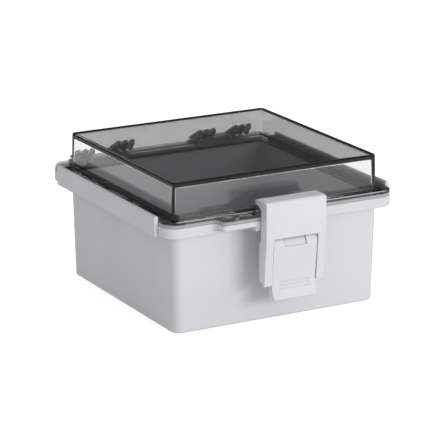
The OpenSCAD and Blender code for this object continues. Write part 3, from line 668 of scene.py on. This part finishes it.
bosses = [turned(BOSS, (x, y, 0)) for x in (-BOSS_AT, BOSS_AT) for y in (-BOSS_AT, BOSS_AT)]
collars = [turned(COLLAR, (*place, 0), closed=True) for place in SCREWS]
pegs = [turned(PEG, (*place, 0), sides=20) for place in PEGS]
knuckles = [base_knuckle(*span) for span in knuckle_spans()]
keeper_plan = box_outline(-KEEPER_X, KEEPER_X, KEEPER_Y, RIM_FRONT + 2)
pad = drawn_out(keeper_plan, RIM_LOW, PART_Z, "z", 0.5)
extras = mesh_piece("extras", together(pad, lug(), *bosses, *collars, *pegs, *knuckles), base_plastic)
join_into(base, ear_low, extras)
dress(base, "base", "base_plastic", "base_shell")

# %% [markdown]
# ## The cover
# The clear cover is a closed skin as well, from the middle of its top down the outside, round the flange and
# its tongue, and up the inside. Clear plastic needs one solid: where two closed skins overlapped, light would
# bend at the hidden walls between them. So the ear, the keeper and the twelve leaning fins are joined by
# Booleans, and the pin bores and peg holes are cut.

# %% Cover shell
BOX_TOP, BOX_FOOT, STEP = (100.5, 100), (101.3, 100.8), (102.8, 102.3, 6.3)
CAVITY_FOOT, CAVITY_TOP, STEP_Z, PLATE_Z = (97.5, 97), (96.5, 96), FLANGE_Z + 1.4, TOP_Z - 4.4
TONGUE_OUT, TONGUE_IN, TONGUE_Z = (107.3, 13.3), (104.7, 10.7), COVER_Z - 1.5
SIDE_ROOM = 0.2


def cover_row(half_w, half_d, radius, z):
    """A row of a rectangle about the middle of the cover."""
    return half_w, -half_d, half_d, radius, z


cover_rows = soften(
    [cover_row(80, 80, 3, TOP_Z), cover_row(*BOX_TOP, 4, TOP_Z), cover_row(*BOX_FOOT, 5, STEP_Z),
     cover_row(*STEP, STEP_Z), cover_row(*STEP, FLANGE_Z),
     rim_row(FLANGE_Z, SIDE_ROOM), rim_row(COVER_Z, SIDE_ROOM),
     square_row(*TONGUE_OUT, COVER_Z), square_row(*TONGUE_OUT, TONGUE_Z),
     square_row(*TONGUE_IN, TONGUE_Z), square_row(*TONGUE_IN, COVER_Z),
     cover_row(*CAVITY_FOOT, 1, COVER_Z), cover_row(*CAVITY_TOP, 1, PLATE_Z), cover_row(78, 78, 1, PLATE_Z)],
    [1.5, 0.3, 0.35, 0.3, 1.0, 0.3, 0.0, 0.3, 0.3, 0.0, 0.3, 1.0], 9)
cover = mesh_piece("cover", skin(plan_rings(cover_rows, 13)), cover_clear)
print("cover shell:", len(cover_rows), "rings")

# %% [markdown]
# Each fin runs round the hinge pin and leans forward to a round tip above the rear flange. The keeper is a
# ramp that the latch hook climbs, with a land in the middle where its nose rests.

# %% Fins and keeper
TIP_R, TIP_Y, TIP_TOP = 2.4, 103.5, FLANGE_Z + 12
KEEPER_BACK, LAND_HALF = KEEPER_Y + 7, 25.9


def fin(x):
    """A fin of the cover: round the eye, up a tangent to the tip, round it and down to the flange."""
    tip = np.array([TIP_Y + TIP_R, TIP_TOP - TIP_R])
    root = np.array([tip[0] + 5, FLANGE_Z - 0.5])
    back = angle_of(tangent(tip, TIP_R, EYE, EYE_R, 1))
    front = angle_of(tangent(root, 0, tip, TIP_R, 1)) % 360
    heel = np.array([RIM_REAR - 1, COVER_Z])
    away = angle_of(heel - EYE) % 360
    outline = np.concatenate([around(EYE, EYE_R, away, back + 360, 25), around(tip, TIP_R, back, front, 13),
                              [root, (root[0], COVER_Z + 1), heel]])
    return drawn_out(outline, x - FIN_HALF, x + FIN_HALF, edge=0.8, steps=6)


fins = together(*[fin(x + step) for x in FIN_GROUPS for step in (-FIN_STEP, 0, FIN_STEP)])
ramps = [(KEEPER_Y, COVER_Z), (KEEPER_BACK, COVER_Z), (KEEPER_BACK, KEEPER_TOP - 0.8),
         (KEEPER_Y + 4.4, KEEPER_TOP - 2.1), (KEEPER_Y, KEEPER_TOP - 4.3)]
land = [(KEEPER_Y, COVER_Z), (KEEPER_BACK, COVER_Z), (KEEPER_BACK, KEEPER_TOP - 0.7), (KEEPER_Y, KEEPER_TOP)]
print("fins:", len(FIN_GROUPS) * 3, "tip at", TIP_Y + TIP_R, "keeper top", KEEPER_TOP)

# %% Join and cut the cover
for added in (drawn_out(ear_outline(), COVER_Z, FLANGE_Z, "z", 0.5),
              drawn_out(keeper_plan, COVER_Z, FLANGE_Z, "z", 0.3),
              drawn_out(ramps, -KEEPER_X, KEEPER_X, edge=0.3),
              drawn_out(land, -LAND_HALF, LAND_HALF, edge=0.3), fins):
    carve(cover, added, "UNION")
bore = [(BORE_R, -30), (BORE_R, 30)]
bores = [turned(bore, (side, *EYE), "x", 40) for side in (-HINGE_AT, HINGE_AT)]
peg_holes = [hole(*place, PEG_HOLE_R, COVER_Z - 2, COVER_Z + 2.3) for place in PEGS]
carve(cover, together(hole(*SEAL_HOLE, SEAL_HOLE_R, 90, 110), *bores, *peg_holes))
soften_shading(cover)
dress(cover, "cover", "cover_clear", "cover_shell")

# %% [markdown]
# ## Finishes on the CAD nodes
# The rails, the latch, the cord, the pins and the inserts have their final shape in CAD, so they stay and
# only get their finish.

# %% Finishes on the CAD nodes
FINISHES = {"side_rail": rail_plastic, "latch": latch_plastic, "panel_insert": insert_brass,
            "hinge_pin": pin_steel, "lever_pin": pin_steel, "hook_pin": pin_steel, "gasket": seal_rubber}
for name, node in nodes.items():
    for start, material in FINISHES.items():
        if name.startswith(start):
            for entry in node.material_slots:
                entry.link, entry.material = "OBJECT", material
print("finishes set on", sum(not n.hide_render for n in nodes.values()), "CAD nodes")

# %% [markdown]
# ## Studio
# The floor is pale, and one soft lamp stands low at front right. The camera sees white all round the object.
# Rays that go through the cover see the floor's glow as well. A dark wall behind and a grey one in front are
# there for mirrored and bent rays only: they give clear plastic its dark edges. The lamp is left out of
# mirrored rays, because its image would hide the fine lines of the flange. What lights the object is the lamp
# and the plain, weaker glow of the room, which comes more from the sides than from above.


# %% Floor
def studio_floor(size, colour, glow):
    """A square floor just under the object. Only the camera and rays through the cover see its glow."""
    h, z = size / 2, -0.0002
    mesh = bpy.data.meshes.new("floor")
    mesh.from_pydata([(-h, -h, z), (h, -h, z), (h, h, z), (-h, h, z)], [], [(0, 1, 2, 3)])
    material = bpy.data.materials.new("floor")
    s = empty_tree(material)
    ray = s.node("ShaderNodeLightPath", out="Is Camera Ray")
    seen = s.math("MAXIMUM", ray, ray.other("Is Transmission Ray"))
    plain = s.node("ShaderNodeBsdfDiffuse", {"Color": colour})
    lit = s.node("ShaderNodeEmission", {"Color": (1, 1, 1, 1), "Strength": glow * seen})
    s.node("ShaderNodeOutputMaterial", {"Surface": s.node("ShaderNodeAddShader", {0: plain, 1: lit})})
    mesh.materials.append(material)
    floor = add_to_scene("floor", mesh)


studio_floor(size=6.0, colour=(0.8, 0.8, 0.8, 1), glow=0.62)
print("floor laid")


# %% World and lamp
def studio_world(strength, dark, front):
    """The room: its glow on the object falls from strength at the horizon by 45 percent overhead."""
    world = bpy.data.worlds.new("studio")
    bpy.context.scene.world = world
    s = empty_tree(world)
    ray = s.node("ShaderNodeLightPath", out="Is Camera Ray")
    bent = s.math("MAXIMUM", ray.other("Is Glossy Ray"), ray.other("Is Transmission Ray"))
    towards = s.node("ShaderNodeSeparateXYZ", {"Vector": s.node("ShaderNodeTexCoord", out="Generated")})
    ahead = towards.other("Y").smooth(0.3, -0.5)
    above = s.math("MAXIMUM", towards.other("Z"), 0.0)
    room, wall, white = (
        s.node("ShaderNodeBackground", {"Color": (1, 1, 1, 1), "Strength": level})
        for level in (strength * (1 - 0.45 * above), dark + (front - dark) * ahead, 1.0))
    mixed = s.node("ShaderNodeMixShader", {0: bent, 1: room, 2: wall})
    s.node("ShaderNodeOutputWorld", {"Surface": s.node("ShaderNodeMixShader", {0: ray, 1: mixed, 2: white})})


def soft_box(name, azimuth, elevation, distance, width, height, power):
    """A rectangular lamp aimed at the middle of the box."""
    lamp = bpy.data.lights.new(name, "AREA")
    lamp.shape, lamp.size, lamp.size_y, lamp.energy = "RECTANGLE", width, height, power
    return add_to_scene(name, lamp, aimed(azimuth, elevation, distance, (0, 0, 0.06)))


studio_world(strength=0.84, dark=0.05, front=0.5)
key = soft_box("key", azimuth=18, elevation=15.5, distance=2.0, width=1.0, height=0.45, power=15.5)
key.visible_glossy = False
bpy.context.scene.view_settings.view_transform = "Standard"
print("studio ready")
